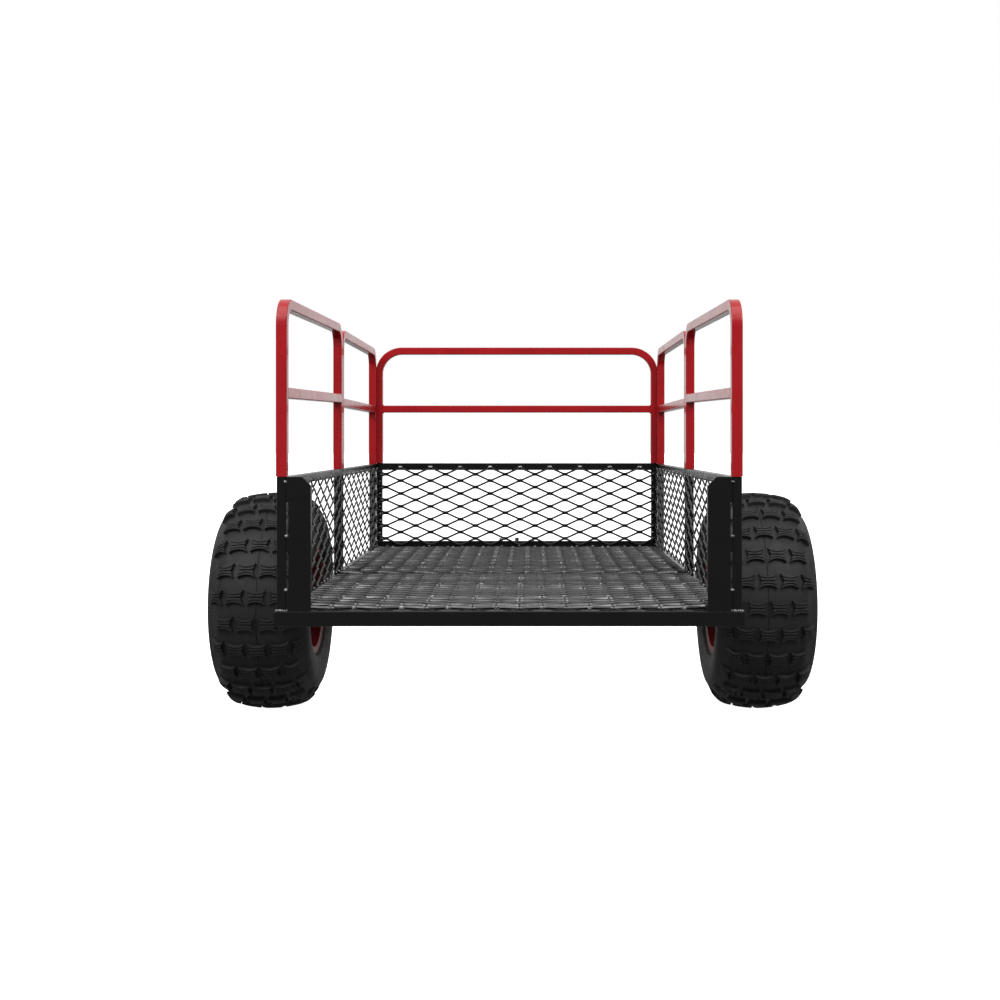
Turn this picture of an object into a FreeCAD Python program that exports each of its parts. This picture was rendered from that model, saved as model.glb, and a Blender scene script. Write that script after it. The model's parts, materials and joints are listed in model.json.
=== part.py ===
import FreeCAD, Part
import math
import os

# Tow-behind utility cart: a steel bed of expanded mesh that tips about its axle, on a drawbar
# chassis with two pneumatic wheels, and five lift-out rail frames that stand in hollow posts.
# Millimetres.  X is to the right, Y points along the tow direction, Z is up and Z = 0 is the ground.

V = FreeCAD.Vector
X_AXIS, Y_AXIS, Z_AXIS = V(1, 0, 0), V(0, 1, 0), V(0, 0, 1)

# Driving dimensions -------------------------------------------------------------------------
OVERALL_LENGTH = 1956.0
BED_LENGTH = 1270.0
BED_HALF_WIDTH = 382.0
REAR_Y = -OVERALL_LENGTH / 2
FRONT_Y = REAR_Y + BED_LENGTH
TIP_Y = OVERALL_LENGTH / 2
AXLE_Y = REAR_Y + 600.0

BOLT_RADIUS = 4.0
BOLT_HOLE_RADIUS = 4.2
BOLT_HEAD_FLATS = 13.0
BOLT_HEAD_HEIGHT = 5.3
BOLT_NUT_HEIGHT = 6.5

TYRE_RADIUS = 224.0
TYRE_HALF_WIDTH = 99.0
WHEEL_X = 502.0
AXLE_Z = TYRE_RADIUS
AXLE_RADIUS = 12.7
AXLE_HALF_LENGTH = 576.0
HUB_START = WHEEL_X - 68.0
HUB_END = WHEEL_X + 54.0
HUB_RADIUS = 26.0
HUB_FLANGE_X = WHEEL_X + 12.0
HUB_FLANGE = 6.0
BOLT_CIRCLE_RADIUS = 50.8
STUD_RADIUS = 6.0
DISC_THICKNESS = 4.0
RUNNING_FIT = 0.05
FIXED_FIT = 0.02

BASE_TUBE = 25.0
BASE_BOTTOM = 252.0
BASE_TOP = BASE_BOTTOM + BASE_TUBE
REAR_BEAM_HALF_WIDTH = 385.0
FRONT_BEAM_DEPTH = 19.0
FRONT_BEAM_TOP = 296.0
CROSS_MEMBERS_Y = tuple(REAR_Y + 154.0 + 212.0 * i for i in range(5))
WALL_TOP = 497.0
FRONT_WALL_TOP = 499.0
TOP_RAIL_HEIGHT = 16.0
TUBE_WALL = 2.0

# Posts are thin square tubes.  A rail frame's legs stand on the posts' tops and go on as stubs inside.
POST = 15.9
POST_WALL = 1.2
POST_X = 373.35
SIDE_POSTS_Y = tuple(REAR_Y + y for y in (9.1, 630.1, 650.1, 1237.1))
FRONT_POST_X = 358.3
FRONT_POST_Y = FRONT_Y - 9.9
RAIL_TUBE = 18.2
RAIL_WALL = 1.4
STUB = 13.0
STUB_WALL = 1.2
LEG_PLUG = 12.0
SEAT_GAP = 0.4

REAR_PLATE_WIDTH = 40.4
REAR_PLATE_NOTCHES = ((311.0, 374.0), (402.0, 455.0))

MESH_LONG_WAY = 77.6
MESH_SHORT_WAY = 33.4
MESH_STRAND = 3.6
MESH_BOND = 7.0
MESH_THICKNESS = 4.0
MESH_GAP = 0.2
MESH_REAR_INSET = 4.0
MESH_RAIL_LAP = 9.0

TONGUE = 40.0
TONGUE_TOP = 236.0
TONGUE_Z = TONGUE_TOP - TONGUE / 2
CLEVIS_PLATE = 6.0
CLEVIS_HALF_WIDTH = 25.0
HITCH_HOLE_RADIUS = 8.25

LATCH_PIVOT = V(0, FRONT_Y + 28.0, 258.0)
LATCH_PIN_RADIUS = 6.0
LATCH_TRAVEL = 18.0
LATCH_BOLTS_Y = (FRONT_Y + 10.0, FRONT_Y + 46.0)
CATCH_TOP = 288.0

BED_INNER_X = POST_X - POST / 2
FRONT_INNER_Y = FRONT_Y - FRONT_BEAM_DEPTH
HANGER_X = BED_HALF_WIDTH - BASE_TUBE - 7.0
BUSHING_INNER_X = HANGER_X - 7.0
BUSHING_OUTER_X = HANGER_X + 13.0


# Helpers ------------------------------------------------------------------------------------
def save(name, *solids):
    """Write one node's solids to its STEP file."""
    shape = solids[0] if len(solids) == 1 else Part.makeCompound(list(solids))
    for solid in shape.Solids:
        if not solid.isValid():
            raise ValueError(name + " holds a solid that isn't valid")
    shape.exportStep("parts/" + name + ".step")


def box(x0, x1, y0, y1, z0, z1):
    """A block between two values on each axis."""
    return Part.makeBox(x1 - x0, y1 - y0, z1 - z0, V(x0, y0, z0))


def cylinder_x(radius, x0, x1, y=AXLE_Y, z=AXLE_Z):
    """A round bar along X."""
    return Part.makeCylinder(radius, x1 - x0, V(x0, y, z), X_AXIS)


def ring_x(outer, inner, x0, x1, y=AXLE_Y, z=AXLE_Z):
    """A round tube along X."""
    return cylinder_x(outer, x0, x1, y, z).cut(cylinder_x(inner, x0, x1, y, z))


def hexagon(across_flats, height, base, direction):
    """A hexagonal prism, such as a nut or a bolt's head."""
    radius = across_flats / math.sqrt(3)
    angles = [math.pi / 3 * i for i in range(7)]
    corners = [V(radius * math.cos(angle), radius * math.sin(angle), 0) for angle in angles]
    prism = Part.Face(Part.makePolygon(corners)).extrude(V(0, 0, height))
    prism.Placement = FreeCAD.Placement(base, FreeCAD.Rotation(Z_AXIS, direction))
    return prism


def mirror(solid):
    """The same piece on the other side of the cart."""
    return solid.mirror(V(0, 0, 0), X_AXIS)


def save_pair(name, *solids):
    """Write the right-hand piece and its mirror image."""
    save(name.replace("SIDE", "right"), *solids)
    save(name.replace("SIDE", "left"), *[mirror(solid) for solid in solids])


def round_long_edges(solid, axis, radius):
    """Round the edges of a block that run along one axis."""
    edges = [e for e in solid.Edges if abs(e.tangentAt(e.FirstParameter).dot(axis)) > 0.999]
    return solid.makeFillet(radius, edges)


def square_tube(x0, x1, y0, y1, z0, z1, axis, wall=TUBE_WALL, corner=2.0):
    """A hollow tube with rounded corners that runs along one axis and is open at both ends."""
    outer = round_long_edges(box(x0, x1, y0, y1, z0, z1), axis, corner)
    inset = V(wall, wall, wall) - axis * (2 * wall)
    inner = box(x0 + inset.x, x1 - inset.x, y0 + inset.y, y1 - inset.y, z0 + inset.z, z1 - inset.z)
    return outer.cut(inner)


def extrude_y(points, y0, y1):
    """A prism along Y whose outline in the XZ plane runs through the given (x, z) corners."""
    corners = [V(x, y0, z) for x, z in points + points[:1]]
    return Part.Face(Part.makePolygon(corners)).extrude(V(0, y1 - y0, 0))


def round_corner(solid, place, radius):
    """Round the edge along Y that passes through one (x, z) corner."""
    x, z = place
    edges = [e for e in solid.Edges if abs(e.CenterOfMass.x - x) + abs(e.CenterOfMass.z - z) < 0.01]
    return solid.makeFillet(radius, edges)


class RailFrame:
    """One lift-out frame: a bent square tube with two legs, and a crossbar, in the XZ plane."""

    def __init__(self, reach, foot, base, tops, bars, bend):
        half = RAIL_TUBE / 2
        self.low, self.high = reach[0] - half, reach[1] + half
        self.foot, self.base, self.bend = foot, base, bend
        self.tops, self.bars = tops, bars
        self.steepness = math.hypot(1.0, (tops[1] - tops[0]) / (self.high - self.low))

    def line(self, heights, x):
        """The height at x of a line with the given heights at the frame's two sides."""
        return heights[0] + (heights[1] - heights[0]) * (x - self.low) / (self.high - self.low)

    def bent_bar(self, inset, foot):
        """The hoop's solid form, drawn in from the tube's outer faces on all sides."""
        thickness = RAIL_TUBE - 2 * inset
        corners = []
        for depth in (inset, inset + thickness):
            left, right = self.low + depth, self.high - depth
            drop = depth * self.steepness
            top = [(x, self.line(self.tops, x) - drop) for x in (left, right)]
            corners.append([(left, foot), *top, (right, foot)])
        outer, inner = corners
        bar = extrude_y(outer + inner[::-1], inset, inset + thickness)
        for outline, radius in ((outer, self.bend - inset), (inner, self.bend - inset - thickness)):
            for place in outline[1:3]:
                bar = round_corner(bar, place, radius)
        return bar

    def stub(self, x):
        """The narrow end of a leg, which goes down inside a post."""
        half = STUB / 2
        middle = RAIL_TUBE / 2
        return square_tube(
            x - half, x + half, middle - half, middle + half, self.base, self.foot, Z_AXIS, STUB_WALL
        )

    def hoop(self):
        outer = self.bent_bar(0.0, self.foot)
        rims = [e for e in outer.Edges if abs(e.CenterOfMass.y - RAIL_TUBE / 2) > 0.4 * RAIL_TUBE]
        outer = outer.makeFillet(2.0, [e for e in rims if abs(e.Length - RAIL_TUBE) > 0.01])
        hollow = outer.cut(self.bent_bar(RAIL_WALL, self.foot + LEG_PLUG))
        middles = (self.low + RAIL_TUBE / 2, self.high - RAIL_TUBE / 2)
        return hollow.fuse([self.stub(x) for x in middles]).removeSplitter()

    def crossbar(self):
        """The bar between the two legs."""

        def prism(inset):
            half = (RAIL_TUBE / 2 - inset) * self.steepness
            ends = [(x, self.line(self.bars, x)) for x in (self.low + RAIL_TUBE, self.high - RAIL_TUBE)]
            lower = [(x, z - half) for x, z in ends]
            upper = [(x, z + half) for x, z in reversed(ends)]
            return extrude_y(lower + upper, inset, RAIL_TUBE - inset)

        outer = prism(0.0)
        along = V(self.high - self.low, 0, self.bars[1] - self.bars[0]).normalize()
        return round_long_edges(outer, along, 2.0).cut(prism(RAIL_WALL))


def expanded_mesh(length, height):
    """A sheet of expanded metal in the XZ plane, long way along X, from the origin, towards +Y."""
    half_long = MESH_LONG_WAY / 2 - MESH_BOND
    half_short = MESH_SHORT_WAY / 2 - MESH_STRAND
    corners = [V(0, 0, 0), V(length, 0, 0), V(length, 0, height), V(0, 0, height), V(0, 0, 0)]
    wires = [Part.makePolygon(corners)]
    columns = int(length / (MESH_LONG_WAY / 2))
    rows = int(height / (MESH_SHORT_WAY / 2))
    for column in range(1, columns):
        for row in range(1, rows):
            if (column + row) % 2:
                continue
            x = length / 2 + (column - columns // 2) * MESH_LONG_WAY / 2
            z = height / 2 + (row - rows // 2) * MESH_SHORT_WAY / 2
            inside_x = half_long + MESH_STRAND < x < length - half_long - MESH_STRAND
            inside_z = half_short + MESH_STRAND < z < height - half_short - MESH_STRAND
            if inside_x and inside_z:
                tips = [V(x - half_long, 0, z), V(x, 0, z + half_short), V(x + half_long, 0, z)]
                tips += [V(x, 0, z - half_short), V(x - half_long, 0, z)]
                wires.append(Part.makePolygon(tips))
    return Part.Face(wires).extrude(V(0, MESH_THICKNESS, 0))


def placed(solid, base, axis=Z_AXIS, degrees=0.0):
    """A copy of a solid turned about the origin and then moved."""
    copy = solid.copy()
    copy.Placement = FreeCAD.Placement(base, FreeCAD.Rotation(axis, degrees))
    return copy


# Bed ----------------------------------------------------------------------------------------
def make_base_frame():
    sill_x = BED_HALF_WIDTH - BASE_TUBE
    inner_rear = REAR_Y + BASE_TUBE
    rear = REAR_BEAM_HALF_WIDTH
    save("rear_beam", square_tube(-rear, rear, REAR_Y, inner_rear, BASE_BOTTOM, BASE_TOP, X_AXIS))
    half = BED_HALF_WIDTH
    front = square_tube(-half, half, FRONT_INNER_Y, FRONT_Y, BASE_BOTTOM, FRONT_BEAM_TOP, X_AXIS)
    save("front_beam", front)
    sill = square_tube(sill_x, half, inner_rear, FRONT_INNER_Y, BASE_BOTTOM, BASE_TOP, Y_AXIS)
    save_pair("SIDE_sill", sill)
    members = []
    for middle in CROSS_MEMBERS_Y:
        near, far = middle - BASE_TUBE / 2, middle + BASE_TUBE / 2
        members.append(square_tube(-sill_x, sill_x, near, far, BASE_BOTTOM, BASE_TOP, X_AXIS))
    save("cross_members", *members)


def make_bed_mesh():
    side_low = BED_INNER_X - MESH_GAP - MESH_THICKNESS
    floor_half = side_low - MESH_GAP
    rear = REAR_Y + MESH_REAR_INSET
    front = FRONT_INNER_Y - MESH_GAP
    floor_front = front - MESH_THICKNESS - MESH_GAP
    floor = expanded_mesh(2 * floor_half, floor_front - rear)
    floor_place = V(-floor_half, rear, BASE_TOP + MESH_GAP + MESH_THICKNESS)
    floor = placed(floor, floor_place, X_AXIS, -90.0)
    save("floor_mesh", floor.mirror(V(0, (rear + floor_front) / 2, 0), Y_AXIS))
    rail_lap = WALL_TOP - TOP_RAIL_HEIGHT + MESH_RAIL_LAP
    side_foot = BASE_TOP + MESH_GAP
    side = expanded_mesh(floor_front - rear, rail_lap - side_foot)
    save_pair("SIDE_mesh", placed(side, V(side_low + MESH_THICKNESS, rear, side_foot), Z_AXIS, 90.0))
    front_foot = BASE_TOP + MESH_THICKNESS + 2 * MESH_GAP
    panel = expanded_mesh(2 * floor_half, rail_lap - front_foot)
    save("front_mesh", placed(panel, V(-floor_half, front - MESH_THICKNESS, front_foot)))


def post_tube(x, y, foot, top):
    """A post round a vertical middle line, open at its top."""
    half = POST / 2
    return square_tube(x - half, x + half, y - half, y + half, foot, top, Z_AXIS, POST_WALL)


def make_posts():
    save_pair("SIDE_posts", *[post_tube(POST_X, y, BASE_TOP, WALL_TOP) for y in SIDE_POSTS_Y])
    front = post_tube(FRONT_POST_X, FRONT_POST_Y, FRONT_BEAM_TOP, FRONT_WALL_TOP)
    save("front_posts", front, mirror(front))


def make_top_rails():
    low, half = WALL_TOP - TOP_RAIL_HEIGHT, POST / 2
    front_end = FRONT_INNER_Y + RAIL_TUBE
    starts = [y + half for y in SIDE_POSTS_Y]
    ends = [y - half for y in SIDE_POSTS_Y[1:]] + [front_end]
    pieces = []
    for start, end in zip(starts, ends):
        if end - start > POST:
            rail = square_tube(BED_INNER_X, POST_X + half, start, end, low, WALL_TOP, Y_AXIS)
            pieces.append(rail)
    cope = box(0, FRONT_POST_X + half, FRONT_POST_Y - half, front_end, low, WALL_TOP)
    pieces[-1] = pieces[-1].cut(cope)
    save_pair("SIDE_top_rail", *pieces)
    reach, low = FRONT_POST_X - half, FRONT_WALL_TOP - RAIL_TUBE
    rail = square_tube(-reach, reach, FRONT_INNER_Y, front_end, low, FRONT_WALL_TOP, X_AXIS)
    save("front_top_rail", rail)


def make_rear_plates():
    """Corner plates with a chamfered top, a folded lip, and two long notches beside the post."""
    inner, outer = BED_INNER_X - REAR_PLATE_WIDTH, BED_INNER_X
    thickness, lip, lip_foot, notch, chamfer = 3.0, 14.0, 30.0, 4.0, 14.0
    outline = [V(outer, 0, BASE_TOP)]
    for low, high in REAR_PLATE_NOTCHES:
        outline += [V(outer, 0, low), V(outer - notch, 0, low)]
        outline += [V(outer - notch, 0, high), V(outer, 0, high)]
    outline += [V(outer, 0, WALL_TOP), V(inner + chamfer, 0, WALL_TOP), V(inner, 0, WALL_TOP - chamfer)]
    outline += [V(inner, 0, BASE_TOP), V(outer, 0, BASE_TOP)]
    plate = Part.Face(Part.makePolygon(outline)).extrude(V(0, thickness, 0))
    fold = box(inner, inner + thickness, 0, lip, BASE_TOP + lip_foot, WALL_TOP - chamfer)
    save_pair("rear_plate_SIDE", placed(plate.fuse(fold).removeSplitter(), V(0, REAR_Y, 0)))


def make_axle_mounts():
    """Hangers that carry the bed on the axle, with their bushings and bolts."""
    thickness, bushing_radius = 6.0, 16.0
    flange_half, plate_half, plate_drop = 46.0, 30.0, 26.0
    bolt_x, bolt_y = BED_HALF_WIDTH - BASE_TUBE / 2, 34.0
    flange_bottom = BASE_BOTTOM - thickness
    rear, front = AXLE_Y - flange_half, AXLE_Y + flange_half
    flange = box(HANGER_X, BED_HALF_WIDTH, rear, front, flange_bottom, BASE_BOTTOM)
    rear, front = AXLE_Y - plate_half, AXLE_Y + plate_half
    plate = box(HANGER_X, HANGER_X + thickness, rear, front, AXLE_Z - plate_drop, BASE_BOTTOM)
    bracket = flange.fuse(plate).removeSplitter()
    bracket = bracket.cut(cylinder_x(bushing_radius + FIXED_FIT, BUSHING_INNER_X, BUSHING_OUTER_X))
    bolts = []
    for y in (AXLE_Y - bolt_y, AXLE_Y + bolt_y):
        foot = V(bolt_x, y, flange_bottom)
        hole = Part.makeCylinder(BOLT_HOLE_RADIUS, thickness, foot, Z_AXIS)
        bracket = bracket.cut(hole)
        head = hexagon(BOLT_HEAD_FLATS, BOLT_HEAD_HEIGHT, foot, V(0, 0, -1))
        bolts.append(head.fuse(Part.makeCylinder(BOLT_RADIUS, thickness, foot, Z_AXIS)))
    bushing = ring_x(bushing_radius, AXLE_RADIUS + RUNNING_FIT, BUSHING_INNER_X, BUSHING_OUTER_X)
    save("axle_brackets", bracket, mirror(bracket))
    save("pivot_bushings", bushing, mirror(bushing))
    save("bracket_bolts", *bolts, *[mirror(bolt) for bolt in bolts])


def make_latch_catch():
    """A small hook plate on the front beam that the latch lever's nose holds down."""
    half, lip_reach = 12.0, 12.0
    plate = box(-half, half, FRONT_Y, FRONT_Y + 3.0, CATCH_TOP - 24.0, CATCH_TOP)
    lip = box(-half, half, FRONT_Y, FRONT_Y + lip_reach, CATCH_TOP - 4.0, CATCH_TOP)
    save("latch_catch", plate.fuse(lip).removeSplitter())


# Lift-out rail frames -----------------------------------------------------------------------
def make_side_rails():
    """Two frames on each side; the rear one's bars rise towards its front leg."""
    foot, base, bend = WALL_TOP + SEAT_GAP, BASE_TOP + SEAT_GAP, 48.0
    rear = RailFrame(SIDE_POSTS_Y[0:2], foot, base, (791.5, 804.0), (634.7, 646.5), bend)
    front = RailFrame(SIDE_POSTS_Y[2:4], foot, base, (795.2, 795.2), (638.6, 638.6), bend)
    outer_face = V(POST_X + RAIL_TUBE / 2, 0, 0)
    for where, frame in (("rear", rear), ("front", front)):
        save_pair("SIDE_" + where + "_rail", placed(frame.hoop(), outer_face, Z_AXIS, 90.0))
        save_pair("SIDE_" + where + "_crossbar", placed(frame.crossbar(), outer_face, Z_AXIS, 90.0))


def make_front_rail():
    foot, base, bend = FRONT_WALL_TOP + SEAT_GAP, FRONT_BEAM_TOP + SEAT_GAP, 68.0
    reach = (-FRONT_POST_X, FRONT_POST_X)
    frame = RailFrame(reach, foot, base, (800.0, 800.0), (639.8, 639.8), bend)
    rear_face = V(0, FRONT_POST_Y - RAIL_TUBE / 2, 0)
    save("front_rail", placed(frame.hoop(), rear_face))
    save("front_crossbar", placed(frame.crossbar(), rear_face))


# Chassis ------------------------------------------------------------------------------------
def make_drawbar():
    """The tongue with its axle sleeve, two braces and the hitch."""
    half = TONGUE / 2
    clevis_root = TIP_Y - CLEVIS_HALF_WIDTH - 38.0
    sleeve_radius, sleeve_half = 18.0, 45.0
    tube = square_tube(-half, half, AXLE_Y, clevis_root, TONGUE_TOP - TONGUE, TONGUE_TOP, Y_AXIS, 3.0, 4.0)
    tube = tube.cut(cylinder_x(sleeve_radius, -half - 1.0, half + 1.0))
    tube = max(tube.Solids, key=lambda solid: solid.Volume)
    for y in LATCH_BOLTS_Y:
        foot = V(0, y, TONGUE_TOP - TONGUE)
        tube = tube.cut(Part.makeCylinder(BOLT_HOLE_RADIUS, TONGUE, foot, Z_AXIS))
    save("tongue_tube", tube)
    save("tongue_sleeve", ring_x(sleeve_radius, AXLE_RADIUS + FIXED_FIT, -sleeve_half, sleeve_half))
    make_braces(half)
    make_clevis(clevis_root)


def make_braces(tongue_half):
    """Two diagonal braces from the axle to the tongue."""
    half = BASE_TUBE / 2
    axle_end, tongue_end = V(250.0, AXLE_Y, TONGUE_Z), V(0, AXLE_Y + 440.0, TONGUE_Z)
    run = tongue_end - axle_end
    blank = square_tube(-half, half, 0, run.Length, -half, half, Y_AXIS)
    brace = placed(blank, axle_end, Z_AXIS, math.degrees(math.atan2(-run.x, run.y)))
    behind = box(0, 400.0, AXLE_Y - 100.0, AXLE_Y, 0, 400.0)
    inside = box(-200.0, tongue_half, AXLE_Y - 100.0, TIP_Y, 0, 400.0)
    brace = brace.cut(behind).cut(inside).cut(cylinder_x(AXLE_RADIUS, 0, 400.0))
    brace = max(brace.Solids, key=lambda solid: solid.Volume)
    save_pair("brace_SIDE", brace)


def make_clevis(root):
    """A U-shaped hitch with one pin hole through both plates."""
    low, high = TONGUE_TOP - TONGUE - CLEVIS_PLATE, TONGUE_TOP + CLEVIS_PLATE
    hole_y = TIP_Y - CLEVIS_HALF_WIDTH
    body = box(-CLEVIS_HALF_WIDTH, CLEVIS_HALF_WIDTH, root, hole_y, low, high)
    body = body.fuse(Part.makeCylinder(CLEVIS_HALF_WIDTH, high - low, V(0, hole_y, low), Z_AXIS))
    gap = box(-50.0, 50.0, root + CLEVIS_PLATE, TIP_Y + 1.0, low + CLEVIS_PLATE, high - CLEVIS_PLATE)
    hole = Part.makeCylinder(HITCH_HOLE_RADIUS, high - low, V(0, hole_y, low), Z_AXIS)
    save("hitch_clevis", body.removeSplitter().cut(gap).cut(hole))


def make_axle():
    """The axle rod with the rings that keep bed and wheels in place along it."""
    rod = cylinder_x(AXLE_RADIUS, -AXLE_HALF_LENGTH, AXLE_HALF_LENGTH)
    pin_x, pin_radius, pin_reach, pin_head = AXLE_HALF_LENGTH - 7.0, 2.4, 17.0, 3.6
    for x in (-pin_x, pin_x):
        foot = V(x, AXLE_Y, AXLE_Z - 2 * AXLE_RADIUS)
        rod = rod.cut(Part.makeCylinder(pin_radius + 0.1, 4 * AXLE_RADIUS, foot, Z_AXIS))
    save("axle_rod", rod)
    bore = AXLE_RADIUS + FIXED_FIT
    collar_radius, collar_width, collar_gap = 19.0, 9.0, 0.6
    collars = []
    for x in (BUSHING_INNER_X - collar_gap - collar_width, BUSHING_OUTER_X + collar_gap):
        collars.append(ring_x(collar_radius, bore, x, x + collar_width))
    save("axle_collars", *collars, *[mirror(collar) for collar in collars])
    washer_radius, washer_width, washer_gap = 20.0, 3.0, 0.5
    washers = []
    for x in (HUB_START - washer_width - washer_gap, HUB_END + washer_gap):
        washers.append(ring_x(washer_radius, bore, x, x + washer_width))
    save("axle_washers", *washers, *[mirror(washer) for washer in washers])
    pin = Part.makeCylinder(pin_radius, 2 * pin_reach, V(pin_x, AXLE_Y, AXLE_Z - pin_reach), Z_AXIS)
    cotter = pin.fuse(Part.makeSphere(pin_head, V(pin_x, AXLE_Y, AXLE_Z + pin_reach)))
    save("cotter_pins", cotter, mirror(cotter))


# Bed latch ----------------------------------------------------------------------------------
def make_latch_bracket():
    """A channel bolted to the tongue, with two flared ears that guide the bed and hold the pivot pin."""
    inner, outer, ear_top, plate = 33.0, 38.0, 300.0, 4.0
    near, far = FRONT_Y + 4.0, FRONT_Y + 54.0
    ear_near, ear_far = FRONT_Y + 10.0, FRONT_Y + 42.0
    flare = [V(inner, 0, TONGUE_TOP), V(outer, 0, TONGUE_TOP), V(outer, 0, ear_top - 17.0)]
    flare += [V(outer + 9.0, 0, ear_top), V(inner + 8.0, 0, ear_top)]
    flare += [V(inner, 0, ear_top - 15.0), V(inner, 0, TONGUE_TOP)]
    ear = Part.Face(Part.makePolygon(flare)).extrude(V(0, ear_far - ear_near, 0))
    ear = placed(ear, V(0, ear_near, 0))
    base = box(-outer, outer, near, far, TONGUE_TOP, TONGUE_TOP + plate)
    bracket = base.fuse([ear, mirror(ear)]).removeSplitter()
    y, z = LATCH_PIVOT.y, LATCH_PIVOT.z
    bracket = bracket.cut(cylinder_x(LATCH_PIN_RADIUS + FIXED_FIT, -60.0, 60.0, y, z))
    pin = cylinder_x(LATCH_PIN_RADIUS, -outer - 6.0, outer + 2.0, y, z)
    head = cylinder_x(10.0, outer, outer + 5.0, y, z)
    save("latch_pivot_pin", pin.fuse(head))
    bolts = []
    for y in LATCH_BOLTS_Y:
        low, high = V(0, y, TONGUE_TOP - TONGUE), V(0, y, TONGUE_TOP + plate)
        bracket = bracket.cut(Part.makeCylinder(BOLT_HOLE_RADIUS, plate, V(0, y, TONGUE_TOP), Z_AXIS))
        head = hexagon(BOLT_HEAD_FLATS, BOLT_HEAD_HEIGHT, high, Z_AXIS)
        nut = hexagon(BOLT_HEAD_FLATS, BOLT_NUT_HEIGHT, low, V(0, 0, -1))
        tail = BOLT_NUT_HEIGHT + 2.5
        shank = Part.makeCylinder(BOLT_RADIUS, TONGUE + plate + tail, low - V(0, 0, tail), Z_AXIS)
        bolts.append(shank.fuse([head, nut]))
    save("latch_bracket", bracket)
    save("chassis_bolts", *bolts)
    pad = box(-18.0, 18.0, FRONT_Y - 21.0, FRONT_Y - 3.0, TONGUE_TOP, BASE_BOTTOM - 0.3)
    save("rest_pad", round_long_edges(pad, Z_AXIS, 3.0))


def make_latch_lever():
    """Modelled locked, with its nose over the catch, then turned back to its released rest."""
    y, z = LATCH_PIVOT.y, LATCH_PIVOT.z
    half_width = 5.0
    nose_y, nose_low, nose_high = FRONT_Y + 5.0, CATCH_TOP + 1.0, CATCH_TOP + 11.0
    arm_rear, arm_front = y - 15.0, y - 3.0
    outline = [V(0, y, z - 8.0), V(0, arm_rear + 4.0, z), V(0, arm_rear + 1.0, nose_low)]
    outline += [V(0, nose_y, nose_low), V(0, nose_y + 2.0, nose_high - 3.0)]
    outline += [V(0, nose_y + 6.0, nose_high), V(0, arm_front, nose_high)]
    outline += [V(0, arm_front + 6.0, z + 14.0), V(0, y + 78.0, z + 34.0)]
    outline += [V(0, y + 82.0, z + 22.0), V(0, y, z - 8.0)]
    plate = Part.Face(Part.makePolygon(outline)).extrude(V(2 * half_width, 0, 0))
    plate.translate(V(-half_width, 0, 0))
    hub = cylinder_x(10.0, -31.0, 31.0, y, z)
    stem_radius, stem_length, stem_angle = 4.5, 68.0, math.radians(17.0)
    stem_base = V(0, y + 60.0, z + 22.0)
    stem_direction = V(0, math.cos(stem_angle), math.sin(stem_angle))
    stem = Part.makeCylinder(stem_radius, stem_length, stem_base, stem_direction)
    lever = plate.fuse([hub, stem]).removeSplitter()
    lever = lever.cut(cylinder_x(LATCH_PIN_RADIUS + RUNNING_FIT, -40.0, 40.0, y, z))
    grip_radius, grip_length = 10.0, 46.0
    grip_base = stem_base + stem_direction * 26.0
    grip = Part.makeCylinder(grip_radius, grip_length, grip_base, stem_direction)
    rims = [e for e in grip.Edges if abs(e.Length - 2 * math.pi * grip_radius) < 0.01]
    grip = grip.makeFillet(3.0, rims)
    grip = grip.cut(Part.makeCylinder(stem_radius, stem_length - 26.0, grip_base, stem_direction))
    lever = lever.rotate(LATCH_PIVOT, X_AXIS, -LATCH_TRAVEL)
    grip = grip.rotate(LATCH_PIVOT, X_AXIS, -LATCH_TRAVEL)
    save("latch_lever", lever)
    save("latch_grip", grip)


# Wheels -------------------------------------------------------------------------------------
def wheel_point(x, r):
    """A point above the axle, given as its distance along X from the wheel's centre and its radius."""
    return V(WHEEL_X + x, AXLE_Y, AXLE_Z + r)


def revolve_x(wire):
    """Turn a closed outline about the axle."""
    return Part.Face(wire).revolve(V(0, AXLE_Y, AXLE_Z), X_AXIS, 360.0)


def bolt_places():
    """The Y and Z of each wheel bolt."""
    for i in range(4):
        angle = math.radians(45.0 + 90.0 * i)
        yield AXLE_Y + BOLT_CIRCLE_RADIUS * math.cos(angle), AXLE_Z + BOLT_CIRCLE_RADIUS * math.sin(angle)


def make_rim():
    half, flange, seat, well = 88.0, 113.0, 101.0, 84.0
    outside = [(-half, flange), (-half + 3, flange), (-half + 5, seat + 1), (-62, seat - 1), (-45, well)]
    outside += [(-x, r) for x, r in reversed(outside)]
    inside = [(half, flange - 3), (half - 2, seat - 2), (63, seat - 4), (46, well - 3)]
    inside += [(-x, r) for x, r in reversed(inside)]
    barrel = revolve_x(Part.makePolygon([wheel_point(x, r) for x, r in outside + inside + outside[:1]]))
    disc_x = HUB_FLANGE_X + HUB_FLANGE
    disc = ring_x(well - 2.0, HUB_RADIUS + 1.0, disc_x, disc_x + DISC_THICKNESS)
    rim = barrel.fuse(disc).removeSplitter()
    for y, z in bolt_places():
        rim = rim.cut(cylinder_x(STUD_RADIUS + 0.6, disc_x - 1.0, disc_x + DISC_THICKNESS + 1.0, y, z))
    valve_z, valve_radius, cap_radius = AXLE_Z + seat - 9.0, 5.7, 4.0
    hole_x, stem_x, cap_x, end_x = [WHEEL_X + x for x in (40.0, 44.0, 66.0, 86.0)]
    rim = rim.cut(cylinder_x(valve_radius, hole_x, end_x, AXLE_Y, valve_z))
    save_pair("rim_SIDE", rim)
    stem = cylinder_x(valve_radius - 0.1, stem_x, cap_x, AXLE_Y, valve_z)
    save_pair("valve_SIDE", stem.fuse(cylinder_x(cap_radius, cap_x, end_x, AXLE_Y, valve_z)))


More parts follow.
